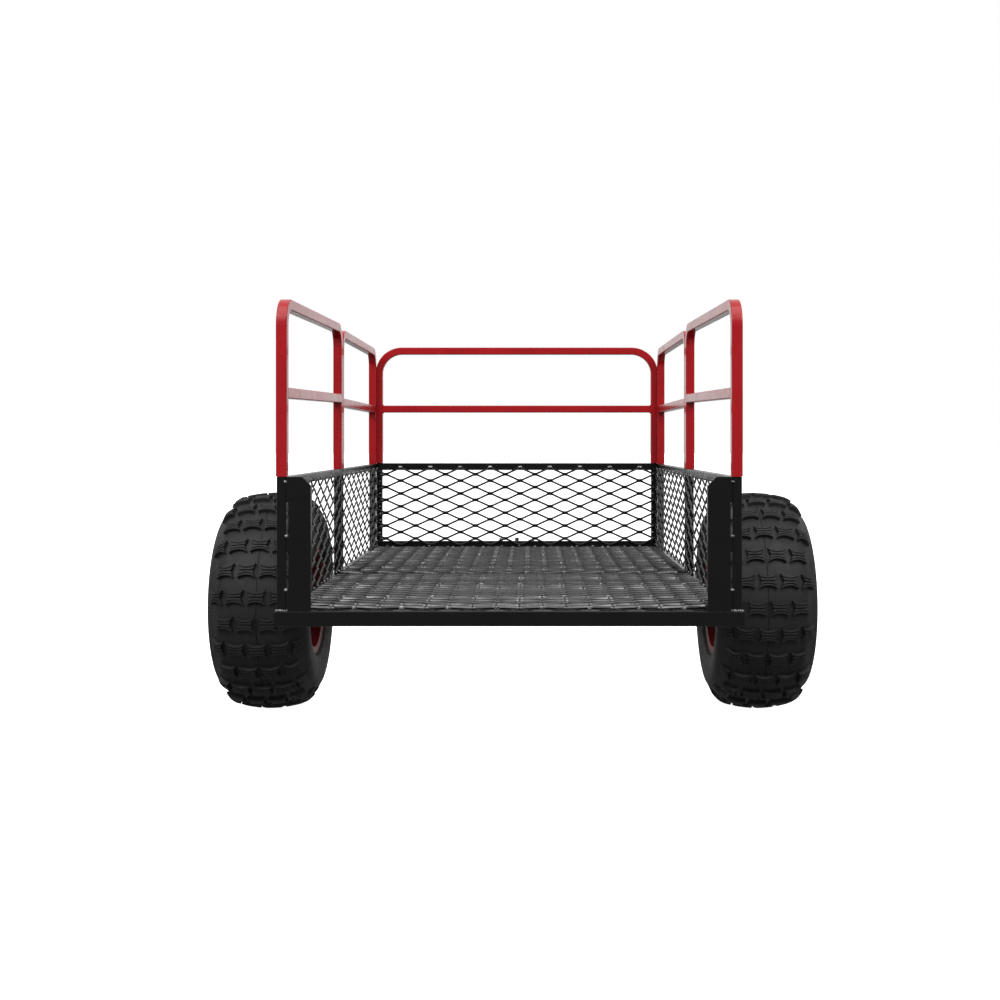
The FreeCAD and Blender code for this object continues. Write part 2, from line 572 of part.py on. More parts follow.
def tyre_outline(side):
    """One side's edges, from the crown down the outside, round the bead and up the inside."""

    def arc(*places):
        return Part.Arc(*[wheel_point(side * x, r) for x, r in places]).toShape()

    crown, widest, wall = TYRE_RADIUS, TYRE_HALF_WIDTH, 9.0
    tread_edge, shoulder = (64.0, crown - 9.0), (92.0, crown - 38.0)
    bead_top, bead_heel, bead_foot, bead_toe = (91.0, 119.0), (85.0, 113.0), (83.0, 102.0), (70.0, 100.762)
    inner_foot, inner_shoulder = (76.0, 118.0), (82.0, crown - 42.0)
    corners = [bead_top, bead_heel, bead_foot, bead_toe, inner_foot]
    points = [wheel_point(side * x, r) for x, r in corners]
    return [
        arc((0, crown), (32.0, crown - 2.4), tread_edge),
        arc(tread_edge, (82.0, crown - 21.0), shoulder),
        arc(shoulder, (widest, 158.0), bead_top),
        *[Part.makeLine(this, next_one) for this, next_one in zip(points, points[1:])],
        arc(inner_foot, (widest - wall, 158.0), inner_shoulder),
        arc(inner_shoulder, (50.0, crown - 19.0), (0, crown - 15.0)),
    ]


def make_tyre():
    """The tyre's outer envelope with a hollow inside, seated on the rim's beads."""
    edges = tyre_outline(1) + tyre_outline(-1)
    save_pair("tyre_SIDE", revolve_x(Part.Wire(Part.__sortEdges__(edges))))


def make_hub():
    """The hub on its two bearings, with studs and nuts for the rim and a cap over its outer end."""
    bearing_radius, bearing_width = 21.0, 14.0
    hub = cylinder_x(HUB_RADIUS, HUB_START, HUB_END)
    hub = hub.fuse(cylinder_x(66.0, HUB_FLANGE_X, HUB_FLANGE_X + HUB_FLANGE)).removeSplitter()
    hub = hub.cut(cylinder_x(15.0, HUB_START - 1.0, HUB_END + 1.0))
    bearings = []
    for x in (HUB_START, HUB_END - bearing_width):
        hub = hub.cut(cylinder_x(bearing_radius, x, x + bearing_width))
        bearings.append(ring_x(bearing_radius, AXLE_RADIUS + RUNNING_FIT, x, x + bearing_width))
    nuts = []
    disc_out = HUB_FLANGE_X + HUB_FLANGE + DISC_THICKNESS
    for y, z in bolt_places():
        hub = hub.cut(cylinder_x(STUD_RADIUS + 0.3, HUB_FLANGE_X - 5.0, disc_out, y, z))
        stud = cylinder_x(STUD_RADIUS, HUB_FLANGE_X, disc_out + 18.0, y, z)
        head = cylinder_x(9.0, HUB_FLANGE_X - 4.0, HUB_FLANGE_X, y, z)
        nut = hexagon(19.0, 12.0, V(disc_out, y, z), X_AXIS)
        nuts.append(stud.fuse([head, nut]))
    save_pair("hub_SIDE", hub)
    save_pair("bearings_SIDE", *bearings)
    save_pair("lug_nuts_SIDE", *nuts)
    cap_out, cap_wall = HUB_END + 30.0, 3.0
    cap = cylinder_x(HUB_RADIUS, HUB_END, cap_out)
    rims = [e for e in cap.Edges if e.CenterOfMass.x > cap_out - 1.0 and e.Length > HUB_RADIUS]
    cap = cap.makeFillet(5.0, rims)
    cap = cap.cut(cylinder_x(HUB_RADIUS - cap_wall, HUB_END, cap_out - cap_wall))
    save_pair("dust_cap_SIDE", cap)


def main():
    """Write every node's STEP file."""
    os.makedirs("parts", exist_ok=True)
    make_base_frame()
    make_bed_mesh()
    make_posts()
    make_top_rails()
    make_rear_plates()
    make_axle_mounts()
    make_latch_catch()
    make_side_rails()
    make_front_rail()
    make_drawbar()
    make_axle()
    make_latch_bracket()
    make_latch_lever()
    make_rim()
    make_tyre()
    make_hub()


main()
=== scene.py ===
import bpy
import json
import math
import numpy as np
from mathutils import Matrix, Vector


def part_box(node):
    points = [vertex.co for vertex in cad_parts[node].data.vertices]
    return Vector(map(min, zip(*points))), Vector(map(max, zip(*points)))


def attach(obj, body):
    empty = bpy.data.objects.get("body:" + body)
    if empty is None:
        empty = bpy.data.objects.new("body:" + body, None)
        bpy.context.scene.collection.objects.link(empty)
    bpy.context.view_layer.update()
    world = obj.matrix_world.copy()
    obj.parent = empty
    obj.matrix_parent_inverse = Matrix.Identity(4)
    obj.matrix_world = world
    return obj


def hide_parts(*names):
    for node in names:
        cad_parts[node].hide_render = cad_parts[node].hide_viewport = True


# Looks for a tow-behind utility cart: a black expanded-mesh bed, red lift-out rails, knobby tyres.
# Metres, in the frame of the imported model: X to the right, Y along the tow direction, Z up.

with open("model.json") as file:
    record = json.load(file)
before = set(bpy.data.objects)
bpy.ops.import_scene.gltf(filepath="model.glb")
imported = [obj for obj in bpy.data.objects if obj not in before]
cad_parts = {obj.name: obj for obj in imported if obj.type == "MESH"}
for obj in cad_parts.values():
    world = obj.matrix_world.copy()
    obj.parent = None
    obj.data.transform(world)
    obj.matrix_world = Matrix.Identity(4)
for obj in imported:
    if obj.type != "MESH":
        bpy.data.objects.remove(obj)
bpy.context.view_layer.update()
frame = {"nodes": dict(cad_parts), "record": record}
nodes = frame["nodes"]

MM = 0.001

REAR_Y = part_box("rear_beam")[0].y
FLOOR_LOW, FLOOR_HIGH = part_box("floor_mesh")
FRONT_LOW, FRONT_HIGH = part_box("front_mesh")
SIDE_LOW, SIDE_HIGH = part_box("right_mesh")
BASE_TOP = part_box("rear_beam")[1].z
RAIL_LOW, RAIL_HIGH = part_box("front_top_rail")
TYRE_LOW, TYRE_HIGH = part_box("tyre_right")
AXLE_LOW, AXLE_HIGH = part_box("axle_rod")
AXLE_Y = (AXLE_LOW.y + AXLE_HIGH.y) / 2
AXLE_Z = (TYRE_LOW.z + TYRE_HIGH.z) / 2
WHEEL_X = (TYRE_LOW.x + TYRE_HIGH.x) / 2
TYRE_RADIUS = (TYRE_HIGH.z - TYRE_LOW.z) / 2
POST = 15.9 * MM

rng = np.random.default_rng(7)


# Mesh helpers -------------------------------------------------------------------------------
def make_object(name, points, faces, material, smooth_angle=None):
    """A mesh object from points and faces, smooth within an angle in degrees."""
    mesh = bpy.data.meshes.new(name)
    mesh.from_pydata([tuple(p) for p in points], [], [tuple(f) for f in faces])
    mesh.validate()
    mesh.update()
    mesh.materials.append(material)
    obj = bpy.data.objects.new(name, mesh)
    bpy.context.scene.collection.objects.link(obj)
    if smooth_angle is not None:
        mesh.shade_smooth()
        mesh.set_sharp_from_angle(angle=math.radians(smooth_angle))
    return obj


class Builder:
    """Collects the points and faces of many small closed shapes that become one piece."""

    def __init__(self):
        self.points, self.faces, self.count = [], [], 0

    def add(self, points, faces):
        self.points.append(np.asarray(points, float))
        self.faces.extend([tuple(i + self.count for i in face) for face in faces])
        self.count += len(points)

    def make(self, name, material, smooth_angle=None):
        return make_object(name, np.concatenate(self.points), self.faces, material, smooth_angle)


def loft_faces(rings, size, closed_ends=True):
    """Faces that join equal rings of points in a row, with flat caps on both ends."""
    faces = []
    for ring in range(rings - 1):
        for i in range(size):
            j = (i + 1) % size
            base, above = ring * size, (ring + 1) * size
            faces.append((base + i, base + j, above + j, above + i))
    if closed_ends:
        faces.append(tuple(reversed(range(size))))
        faces.append(tuple(range((rings - 1) * size, rings * size)))
    return faces


# Materials ----------------------------------------------------------------------------------
class Nodes:
    """A short way to write a procedural material's node tree."""

    def __init__(self, name):
        self.material = bpy.data.materials.new(name)
        self.material.use_nodes = True
        self.tree = self.material.node_tree
        self.shader = self.tree.nodes["Principled BSDF"]
        self.place = self.new("ShaderNodeTexCoord").outputs["Object"]

    def new(self, kind, **values):
        node = self.tree.nodes.new(kind)
        for key, value in values.items():
            setattr(node, key, value)
        return node

    def link(self, source, target):
        self.tree.links.new(source, target)

    def noise(self, scale, detail=3.0, roughness=0.5):
        node = self.new("ShaderNodeTexNoise")
        node.inputs["Scale"].default_value = scale
        node.inputs["Detail"].default_value = detail
        node.inputs["Roughness"].default_value = roughness
        self.link(self.place, node.inputs["Vector"])
        return node.outputs["Fac"]

    def ramp(self, source, stops):
        """A colour ramp from a list of (position, colour) pairs, where a number stands for a grey."""
        node = self.new("ShaderNodeValToRGB")
        while len(node.color_ramp.elements) < len(stops):
            node.color_ramp.elements.new(0.5)
        for element, (position, colour) in zip(node.color_ramp.elements, stops):
            grey = isinstance(colour, (int, float))
            element.position = position
            element.color = (colour, colour, colour, 1) if grey else (*colour, 1)
        self.link(source, node.inputs["Fac"])
        return node.outputs["Color"]

    def bump(self, source, strength, distance, after=None):
        node = self.new("ShaderNodeBump")
        node.inputs["Strength"].default_value = strength
        node.inputs["Distance"].default_value = distance
        self.link(source, node.inputs["Height"])
        if after is not None:
            self.link(after, node.inputs["Normal"])
        return node.outputs["Normal"]

    def finish(self, colour, roughness, normal=None, **fixed):
        self.link(colour, self.shader.inputs["Base Color"])
        self.link(roughness, self.shader.inputs["Roughness"])
        if normal is not None:
            self.link(normal, self.shader.inputs["Normal"])
        for key, value in fixed.items():
            self.shader.inputs[key.replace("_", " ")].default_value = value
        return self.material


def shades(colour, spread):
    """The same colour a little darker and a little lighter."""
    dark = tuple(c * (1 - spread) for c in colour)
    light = tuple(min(1.0, c * (1 + spread)) for c in colour)
    return dark, light


def paint(name, colour, rough_low, rough_high, specular, coat):
    """Powder coat: faint orange peel, and slow drift in gloss and tone."""
    n = Nodes(name)
    dark, light = shades(colour, 0.12)
    tone = n.ramp(n.noise(9.0, 4.0), [(0.3, dark), (0.7, light)])
    rough = n.ramp(n.noise(26.0, 5.0, 0.6), [(0.35, rough_low), (0.7, rough_high)])
    peel = n.bump(n.noise(520.0, 2.0), 0.07, 0.0004)
    normal = n.bump(n.noise(60.0, 2.0), 0.06, 0.0008, peel)
    return n.finish(
        tone, rough, normal,
        Specular_IOR_Level=specular, Coat_Weight=coat, Coat_Roughness=0.08, Coat_IOR=1.45,
    )


def glint_painted_weld(name, stops, rough_low, rough_high):
    """Weld beads of black paint with pale patches that are painted highlight, standing in for the glints
    on the beads.
    """
    n = Nodes(name)
    tone = n.ramp(n.noise(170.0, 3.0), stops)
    rough = n.ramp(n.noise(260.0, 3.0), [(0.3, rough_low), (0.7, rough_high)])
    normal = n.bump(n.noise(420.0, 2.0), 0.3, 0.0004)
    return n.finish(tone, rough, normal, Specular_IOR_Level=0.6, Coat_Weight=0.5, Coat_Roughness=0.1)


def rubber(name, colour, rough_low, rough_high):
    """Moulded rubber: matt, with faint mottling and a fine grain."""
    n = Nodes(name)
    dark, light = shades(colour, 0.22)
    tone = n.ramp(n.noise(30.0, 5.0, 0.6), [(0.3, dark), (0.72, light)])
    rough = n.ramp(n.noise(75.0, 4.0, 0.6), [(0.3, rough_low), (0.7, rough_high)])
    grain = n.bump(n.noise(900.0, 3.0), 0.25, 0.0003)
    normal = n.bump(n.noise(45.0, 2.0), 0.12, 0.001, grain)
    return n.finish(tone, rough, normal, Specular_IOR_Level=0.26)


def bare_metal(name, colour, rough_low, rough_high):
    """Plated or ground steel with fine turning marks."""
    n = Nodes(name)
    dark, light = shades(colour, 0.15)
    tone = n.ramp(n.noise(120.0, 4.0), [(0.3, dark), (0.7, light)])
    rough = n.ramp(n.noise(260.0, 3.0), [(0.3, rough_low), (0.7, rough_high)])
    normal = n.bump(n.noise(700.0, 2.0), 0.15, 0.0002)
    return n.finish(tone, rough, normal, Metallic=1.0)


def plastic(name, colour, rough_low, rough_high):
    """Moulded plastic with a fine grain."""
    n = Nodes(name)
    dark, light = shades(colour, 0.08)
    tone = n.ramp(n.noise(50.0, 3.0), [(0.3, dark), (0.7, light)])
    rough = n.ramp(n.noise(140.0, 3.0), [(0.3, rough_low), (0.7, rough_high)])
    normal = n.bump(n.noise(800.0, 2.0), 0.2, 0.0002)
    return n.finish(tone, rough, normal, Specular_IOR_Level=0.5)


MATERIALS = {
    "frame_black": paint("frame_black", (0.0048, 0.0048, 0.0046), 0.24, 0.34, 0.15, 0.16),
    "mesh_black": paint("mesh_black", (0.0060, 0.0060, 0.0063), 0.32, 0.42, 0.26, 0.14),
    "floor_black": paint("floor_black", (0.0085, 0.0085, 0.0088), 0.22, 0.50, 0.52, 0.12),
    # Both weld materials: their pale noise patches are painted highlight, colour that stands in for the
    # beads' glints.
    "weld": glint_painted_weld("weld", [(0.45, 0.02), (0.66, 0.30)], 0.16, 0.24),
    "bright_weld": glint_painted_weld("bright_weld", [(0.36, 0.10), (0.54, 0.46)], 0.16, 0.24),
    "red_rail": paint("red_rail", (0.315, 0.0045, 0.0080), 0.20, 0.30, 0.26, 0.28),
    # The wheel red is much darker than the rails' red: painted shade for the shaded inside of the rim.
    "red_wheel": paint("red_wheel", (0.120, 0.0042, 0.0060), 0.34, 0.50, 0.25, 0.06),
    "tyre": rubber("tyre", (0.0140, 0.0140, 0.0147), 0.52, 0.68),
    "zinc_steel": bare_metal("zinc_steel", (0.56, 0.56, 0.55), 0.26, 0.42),
    "bearing_steel": bare_metal("bearing_steel", (0.60, 0.60, 0.60), 0.16, 0.26),
    "rubber": rubber("rubber", (0.018, 0.018, 0.018), 0.55, 0.75),
    "nylon": plastic("nylon", (0.62, 0.60, 0.54), 0.38, 0.5),
    "cap_plastic": plastic("cap_plastic", (0.013, 0.013, 0.013), 0.22, 0.34),
}


def dress_cad_nodes():
    """Every CAD node gets its slot's material."""
    slots = {entry["node"]: entry["material_slot"] for entry in frame["record"]["subparts"]}
    for name, node in nodes.items():
        node.data.materials.clear()
        node.data.materials.append(MATERIALS[slots[name]])


# Expanded metal -----------------------------------------------------------------------------
LONG_WAY = 77.6 * MM
SHORT_WAY = 33.4 * MM
MESH_HALF_DEPTH = 4.0 * MM
HALF_ROW = SHORT_WAY / 2
BEND = 3.0 * MM
WALL_ROWS = 12
WALL_TOP = RAIL_LOW.z + 6.2 * MM
WALL_FOOT = WALL_TOP - WALL_ROWS * HALF_ROW
SIDE_SETBACK = 16 * MM
SIDE_PHASE = 30 * MM
FRONT_PHASE = 8.8 * MM
# Each strand: width, thickness, tilt and its scatter in degrees, bond length, points on each edge.
FLOOR_STRAND = (4.1 * MM, 2.9 * MM, 56.0, 12.0, 5.0 * MM, 2)
FRONT_STRAND = (4.6 * MM, 3.4 * MM, 40.0, 3.0, 9.5 * MM, 3)
SIDE_STRAND = (3.6 * MM, 2.5 * MM, 38.0, 5.0, 8.5 * MM, 3)


def soft_ramp(x, start):
    """Zero before start and rising one for one after it, with a rounded knee."""
    x = x - start
    knee = (x + BEND) ** 2 / (4 * BEND)
    return np.where(x < -BEND, 0.0, np.where(x > BEND, x, knee))


def strand_section(width, thickness, edge_points):
    """The strand's cross-section with rounded edges, as (across the width, across the thickness)."""
    w, t, radius = width / 2, thickness / 2, 0.65 * MM
    section = []
    for start, sign_w, sign_t in ((180, -1, -1), (270, 1, -1), (0, 1, 1), (90, -1, 1)):
        for turn in np.linspace(0, 90, edge_points):
            angle = math.radians(start + turn)
            centre_w, centre_t = sign_w * (w - radius), sign_t * (t - radius)
            section.append((centre_w + radius * math.cos(angle), centre_t + radius * math.sin(angle)))
    return section


def expanded_metal(build, strand, origin, u_axis, v_axis, length, rows, phase):
    """Raised expanded metal: strands zigzag along u and meet their neighbours at bonds, stacked along v.

    The strands lean out of the sheet like louvres, so each bond has one strand on either side of the
    sheet's middle.  phase is where along u the bonds of the first row lie."""
    u_axis, v_axis = np.array(u_axis, float), np.array(v_axis, float)
    w_axis = np.cross(u_axis, v_axis)
    half = LONG_WAY / 2
    width, thickness, lean_angle, scatter, bond, edge_points = strand
    rise = width / 2 * math.cos(math.radians(lean_angle))
    reach = width / 2 * math.sin(math.radians(lean_angle))
    slope = half - bond
    knee = bond / 2
    stops = [0.0, knee - 0.9 * BEND, knee - 0.3 * BEND, knee + 0.3 * BEND, knee + 0.9 * BEND]
    stops += [half - s for s in reversed(stops[1:])]
    section = strand_section(width, thickness, edge_points)
    for row in range(rows):
        shift = phase + (row % 2) * half
        first = math.floor((0.0 - shift) / half)
        cells = [(first + i) * half + shift for i in range(int(length / half) + 3)]
        u = np.concatenate([cell + np.array(stops) for cell in cells])
        u = np.unique(np.clip(np.round(u, 7), 0.0, length))
        x = np.abs((u - shift + half) % LONG_WAY - half)
        rising = (soft_ramp(x, knee) - soft_ramp(x, half - knee)) / slope
        v = row * HALF_ROW + rise + rising * (HALF_ROW - 2 * rise)
        w = reach * (1 - 2 * rising)
        path = np.stack([u, v, w], axis=1)
        tangent = np.gradient(path, axis=0)
        tangent /= np.linalg.norm(tangent, axis=1)[:, None]
        tilt = math.radians(lean_angle + jitter(scatter))
        lean = np.array([0.0, math.cos(tilt), math.sin(tilt)])
        normal = np.cross(tangent, lean)
        normal /= np.linalg.norm(normal, axis=1)[:, None]
        across = np.cross(normal, tangent)
        rings = [path + a * across + b * normal for a, b in section]
        local = np.stack(rings, axis=1).reshape(-1, 3)
        basis = np.stack([u_axis, v_axis, w_axis])
        build.add(local @ basis + np.array(origin), loft_faces(len(u), len(section)))


def bead(build, centre, along, out, length, width, height):
    """One small weld bead: a lumpy half-ellipsoid that stands on a surface."""
    along, out = np.array(along, float), np.array(out, float)
    side = np.cross(out, along)
    rings, size = 4, 9
    points = []
    for ring in range(rings):
        polar = math.pi / 2 * ring / (rings - 0.4)
        for i in range(size):
            turn = 2 * math.pi * i / size
            swell = 1.0 + rng.uniform(-0.12, 0.12)
            flat = math.cos(polar) * swell
            points.append(
                np.array(centre)
                + along * (length / 2 * flat * math.cos(turn))
                + side * (width / 2 * flat * math.sin(turn))
                + out * (height * math.sin(polar) * swell - 0.3 * height * (ring == 0))
            )
    build.add(points, loft_faces(rings, size))


def row_bonds(length, row, phase):
    """Where along u the bonds of a row lie."""
    start = phase + (row % 2) * LONG_WAY / 2
    first = math.ceil((4 * MM - start) / LONG_WAY)
    places = []
    while start + first * LONG_WAY < length - 4 * MM:
        places.append(start + first * LONG_WAY)
        first += 1
    return places


def jitter(amount):
    return rng.uniform(-amount, amount)


# Bed floor and walls ------------------------------------------------------------------------
def make_floor():
    """Two sheets that meet over the middle cross member, welded at every support."""
    build, welds = Builder(), Builder()
    near_member, far_member = [corner.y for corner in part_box("cross_members")]
    middle_y = (near_member + far_member) / 2
    left, width = FLOOR_LOW.x, FLOOR_HIGH.x - FLOOR_LOW.x
    lift = FLOOR_LOW.z + MESH_HALF_DEPTH
    half_tube = 12.5 * MM
    members = np.linspace(near_member + half_tube, far_member - half_tube, 5)
    supports = [REAR_Y + 16 * MM, *members, FLOOR_HIGH.y - 6 * MM]
    sheets = [
        (REAR_Y + 9 * MM, middle_y - 2 * MM, -left - 22.4 * MM),
        (middle_y + 4 * MM, FLOOR_HIGH.y - 1 * MM, -left + 28.2 * MM),
    ]
    for start, end, centre in sheets:
        phase = centre % LONG_WAY
        rows = int((end - start) / HALF_ROW)
        expanded_metal(build, FLOOR_STRAND, (left, start, lift), (1, 0, 0), (0, 1, 0), width, rows, phase)
        for support in supports:
            row = round((support - start) / HALF_ROW)
            if not 0 <= row <= rows:
                continue
            for u in row_bonds(width, row, phase):
                y = start + row * HALF_ROW - 1.5 * MM
                place = (left + u + jitter(3 * MM), y, lift + 0.4 * MM)
                bead(welds, place, (1, 0, 0), (0, -0.35, 0.94), 9 * MM, 5 * MM, 3.2 * MM)
    floor = build.make("floor_expanded_metal", MATERIALS["floor_black"], 40)
    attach(floor, "bed")
    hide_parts("floor_mesh")
    return welds


def make_front_wall(welds):
    """The front sheet, welded to the rails above and below and to both front posts."""
    build = Builder()
    left, width = FRONT_LOW.x, FRONT_HIGH.x - FRONT_LOW.x
    depth = FRONT_HIGH.y - MESH_HALF_DEPTH
    phase = (-left + FRONT_PHASE) % LONG_WAY
    origin = (left, depth, WALL_FOOT)
    expanded_metal(build, FRONT_STRAND, origin, (1, 0, 0), (0, 0, 1), width, WALL_ROWS, phase)
    out = (0, -1, 0)
    face = depth - 1.5 * MM
    bright = Builder()
    for u in row_bonds(width, WALL_ROWS, phase):
        place = (left + u, depth - 3.5 * MM, WALL_TOP + 2.5 * MM + jitter(0.6 * MM))
        bead(bright, place, (1, 0, 0), out, 12 * MM, 5 * MM, 3.5 * MM)
    made = bright.make("front_wall_top_weld_beads", MATERIALS["bright_weld"], 60)
    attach(made, "bed")
    for u in row_bonds(width, 0, phase) + row_bonds(width, 1, phase):
        place = (left + u + jitter(9 * MM), face, WALL_FOOT - 4 * MM + jitter(2 * MM))
        bead(welds, place, (1, 0, 0), out, 8 * MM, 4 * MM, 3 * MM)
    post_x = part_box("front_posts")[1].x - POST / 2
    for row in range(1, WALL_ROWS):
        for side in (-1, 1):
            x = side * (post_x - 5 * MM + jitter(3 * MM))
            place = (x, face, WALL_FOOT + row * HALF_ROW + jitter(2 * MM))
            bead(welds, place, (1, 0, 0), out, 6 * MM, 4.5 * MM, 2.6 * MM)
    wall = build.make("front_expanded_metal", MATERIALS["mesh_black"], 40)
    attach(wall, "bed")
    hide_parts("front_mesh")


def make_side_walls(welds):
    """The side sheets, which start a little ahead of the rear posts so that these stand clear."""
    for name, side in (("right", 1), ("left", -1)):
        build = Builder()
        start = SIDE_LOW.y + SIDE_SETBACK
        length = SIDE_HIGH.y - start
        middle = side * (SIDE_HIGH.x - MESH_HALF_DEPTH)
        if side > 0:
            origin, along, phase = (middle, start, WALL_FOOT), (0, 1, 0), SIDE_PHASE - SIDE_SETBACK
        else:
            origin, along, phase = (middle, start + length, WALL_FOOT), (0, -1, 0), SIDE_PHASE
        expanded_metal(build, SIDE_STRAND, origin, along, (0, 0, 1), length, WALL_ROWS, phase)
        out = (-side, 0, 0)
        face = side * (SIDE_HIGH.x - MESH_HALF_DEPTH - 1.5 * MM)
        for u in row_bonds(length, WALL_ROWS, phase):
            y = origin[1] + along[1] * u
            bead(welds, (face, y, WALL_TOP - 1 * MM), (0, 1, 0), out, 11 * MM, 4.5 * MM, 2.6 * MM)
        for u in row_bonds(length, 0, phase) + row_bonds(length, 1, phase):
            y = origin[1] + along[1] * (u + jitter(5 * MM))
            out_up = (-side * 0.8, 0, 0.6)
            place = (face, y, WALL_FOOT + 1 * MM + jitter(2 * MM))
            bead(welds, place, (0, 1, 0), out_up, 7 * MM, 3.5 * MM, 2 * MM)
        wall = build.make(name + "_expanded_metal", MATERIALS["mesh_black"], 40)
        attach(wall, "bed")
        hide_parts(name + "_mesh")


def make_frame_welds(welds):
    """Stitch welds between corner plate and post, and beads where posts meet the base."""
    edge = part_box("rear_plate_right")[1].x
    for side in (-1, 1):
        for z in (489.0, 400.0, 312.0):
            place = (side * (edge + jitter(1 * MM)), REAR_Y + 0.2 * MM, z * MM)
            bead(welds, place, (1, 0, 0), (0, -1, 0), 7 * MM, 5 * MM, 2.4 * MM)
        for i in range(6):
            place = (side * (edge - 1 * MM + i * 3.4 * MM), REAR_Y + 0.6 * MM, BASE_TOP + 0.6 * MM)
            bead(welds, place, (1, 0, 0), (0, -0.75, 0.66), 5.2 * MM, 5.0 * MM, 2.6 * MM)
    made = welds.make("weld_beads", MATERIALS["weld"], 60)
    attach(made, "bed")


def make_rail_welds():
    """Beads above and below each end of every crossbar."""
    names = ("left_rear", "left_front", "right_rear", "right_front", "front")
    for name in names:
        welds = Builder()
        low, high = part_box(name + "_crossbar")
        axis = 0 if name == "front" else 1
        along = (0, 1, 0) if axis == 0 else (1, 0, 0)
        middle = (low + high) / 2
        tube = RAIL_HIGH.z - RAIL_LOW.z
        ends = ((low[axis], 1, low.z, low.z + tube), (high[axis], -1, high.z - tube, high.z))
        for place, inward, bottom, top in ends:
            for z, up in ((bottom, -1), (top, 1)):
                for offset in (-4.5, 0.0, 4.5):
                    centre = [middle.x, middle.y, z]
                    centre[axis] = place
                    centre[1 - axis] += offset * MM + jitter(0.6 * MM)
                    out = [0.0, 0.0, 0.7 * up]
                    out[axis] = 0.7 * inward
                    bead(welds, centre, along, out, 6 * MM, 5 * MM, 2.4 * MM)
        made = welds.make(name + "_rail_weld_beads", MATERIALS["red_rail"], 60)
        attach(made, name + "_frame")


# Tyres --------------------------------------------------------------------------------------
LUG_ROWS = 26
LUG_PITCH = 43.6 * MM
LUG_HEIGHT = 8.0 * MM
LUG_SHIFT = 7.0 * MM
TIP = (18.0 * MM, 14.8 * MM)
WAIST = (12.4 * MM, 1.0 * MM)
HOLLOW = 5.8 * MM
LUG_EDGE = 9.0 * MM
GROOVE = (4.4 * MM, 6.1 * MM)
GROOVE_DEPTH = 2.6 * MM
SEAM_DEPTH = 1.5 * MM


class TyreProfile:
    """The tread's outer envelope by distance from the centre line, and the carcass under it."""

    def __init__(self):
        half = (TYRE_HIGH.x - TYRE_LOW.x) / 2
        r = TYRE_RADIUS
        mm = MM
        points = [
            (0, r), (16 * mm, r - 0.6 * mm), (32 * mm, r - 2.4 * mm), (48 * mm, r - 5.1 * mm),
            (64 * mm, r - 9 * mm), (75 * mm, r - 14.5 * mm), (84 * mm, r - 23.5 * mm),
            (90 * mm, r - 36 * mm), (half - 0.8 * mm, r - 52 * mm), (half, r - 66 * mm),
            (half - 1.2 * mm, r - 84 * mm), (half - 6 * mm, r - 105 * mm),
        ]
        fine = self.smooth(np.array(points))
        self.points = fine
        steps = np.linalg.norm(np.diff(fine, axis=0), axis=1)
        self.arc = np.concatenate([[0.0], np.cumsum(steps)])

    @staticmethod
    def smooth(points):
        """Catmull-Rom through the points, mirrored at the crown."""
        mirrored = points[1] * np.array([-1.0, 1.0])
        padded = np.vstack([mirrored, points, 2 * points[-1] - points[-2]])
        out = []
        for a, b, c, d in zip(padded, padded[1:], padded[2:], padded[3:]):
            for t in np.linspace(0, 1, 8, endpoint=False):
                square = (2 * a - 5 * b + 4 * c - d) * t**2
                cube = (3 * b - a - 3 * c + d) * t**3
                out.append(0.5 * (2 * b + (c - a) * t + square + cube))
        out.append(points[-1])
        return np.array(out)

    def envelope(self, arc):
        """Point (x, r) of the envelope at an arc length from the centre line."""
        x = np.interp(arc, self.arc, self.points[:, 0])
        r = np.interp(arc, self.arc, self.points[:, 1])
        return x, r

    def at(self, across, sink):
        """Point (x, r) at a signed distance across the tread, sunk below the envelope."""
        s = abs(across)
        e = 1.5 * MM
        x, r = self.envelope(s)
        x_before, r_before = self.envelope(max(s - e, 0.0))
        x_after, r_after = self.envelope(s + e)
        dx, dr = x_after - x_before, r_after - r_before
        size = math.hypot(dx, dr)
        x, r = x + dr / size * sink, r - dx / size * sink
        return math.copysign(x, across), r

    def sink(self, across):
        """How deep the carcass lies under the envelope: full under the tread, none on the sidewall."""
        fade = np.clip((118 * MM - abs(across)) / (30 * MM), 0, 1)
        return LUG_HEIGHT * fade * fade * (3 - 2 * fade)


def around_axle(x, r, angle, centre_x, side):
    """A point of a wheel; angle 0 is the top."""
    return (centre_x + side * x, AXLE_Y + r * math.sin(angle), AXLE_Z + r * math.cos(angle))


def lug_curve(height):
    """A line across the lug, parallel to its hollow outer edge, as (across, along) points."""
    slope = (TIP[0] - WAIST[0]) / (TIP[1] - WAIST[1])
    reach = WAIST[0]
    for _ in range(6):
        reach = WAIST[0] + slope * (height + HOLLOW * (reach / TIP[0]) ** 2.4 - WAIST[1])
    return [(t * reach, height + HOLLOW * abs(t * reach / TIP[0]) ** 2.4) for t in np.linspace(-1, 1, 9)]


def lug_blocks():
    """The blocks of half a lug: a body up to the groove's depth, and two bars on it."""
    waist = [(t * WAIST[0], WAIST[1]) for t in np.linspace(-1, 1, 9)]
    edge = lug_curve(LUG_EDGE)
    tips = [(x * 0.985, c) for x, c in edge]
    return [
        (waist, tips, LUG_HEIGHT + 2 * MM, GROOVE_DEPTH, 0.1 * MM),
        (waist, lug_curve(GROOVE[0]), GROOVE_DEPTH + 0.4 * MM, 0.0, 0.35 * MM),
        (lug_curve(GROOVE[1]), tips, GROOVE_DEPTH + 0.4 * MM, 0.0, 0.35 * MM),
    ]


